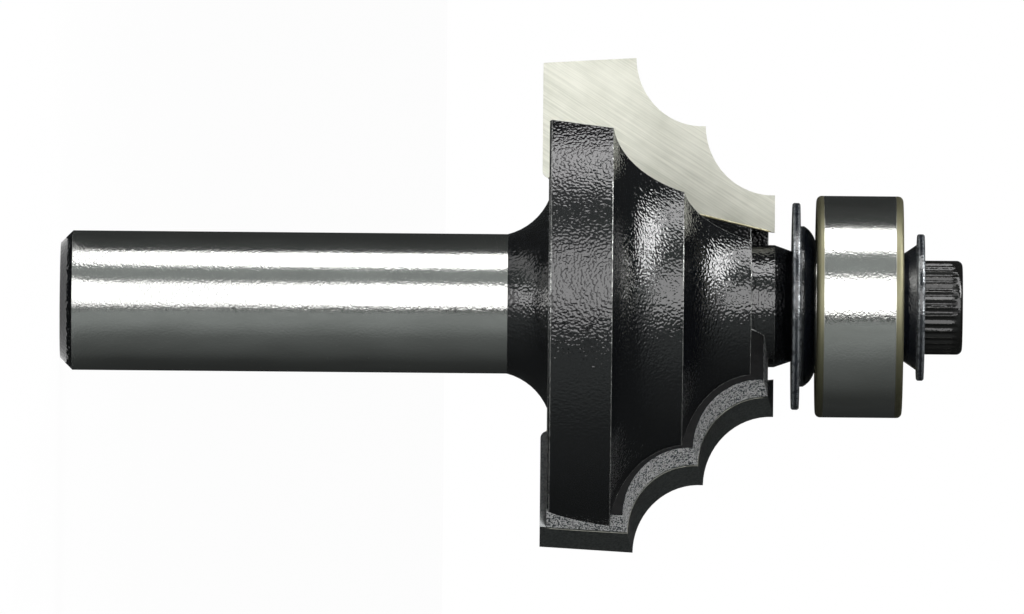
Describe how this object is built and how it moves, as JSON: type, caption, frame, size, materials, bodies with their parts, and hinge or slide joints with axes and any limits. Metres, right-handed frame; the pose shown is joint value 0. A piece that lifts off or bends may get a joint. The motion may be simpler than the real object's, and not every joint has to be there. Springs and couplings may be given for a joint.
{
  "type": "router bit",
  "caption": "Piloted double cove router bit: round shank, dark head with brazed tips and gullets, ball bearing guide held by a socket cap screw.",
  "frame": {"origin": "centre of the flat end of the shank", "axes": "+Z along the axis from the shank towards the guide bearing; the first tip's rake face looks towards -Y and lies at -X"},
  "size_m": [0.0284, 0.0268, 0.0517],
  "materials": {
    "body_steel": "black coated head, ground shank",
    "carbide": "ground",
    "cap_steel": "black oxide, satin",
    "bearing_steel": "fine ground",
    "cage_steel": "bright stamped",
    "screw_steel": "black oxide"
  },
  "bodies": {
    "bit": {"cutter_body": "body_steel", "carbide_tip_1": "carbide", "carbide_tip_2": "carbide", "rear_dust_cap": "cap_steel", "bearing_inner_ring": "bearing_steel", "front_dust_cap": "cap_steel", "pilot_screw": "screw_steel"},
    "guide_ring": {"bearing_outer_ring": "bearing_steel", "bearing_rear_shield": "cage_steel", "bearing_front_shield": "cage_steel", "bearing_rear_snap_ring": "cage_steel", "bearing_front_snap_ring": "cage_steel"},
    "ball_cage": {"bearing_cage": "cage_steel", "bearing_balls": "bearing_steel"}
  },
  "joints": [
    {"name": "guide_spin", "type": "hinge", "parent": "bit", "child": "guide_ring", "pos_m": [0, 0, 0.04575], "axis": [0, 0, 1], "continuous": true},
    {"name": "cage_spin", "type": "hinge", "parent": "bit", "child": "ball_cage", "pos_m": [0, 0, 0.04575], "axis": [0, 0, 1], "continuous": true}
  ],
  "couplings": [
    {"joint": "cage_spin", "follows": "guide_spin", "ratio": 0.6363}
  ]
}
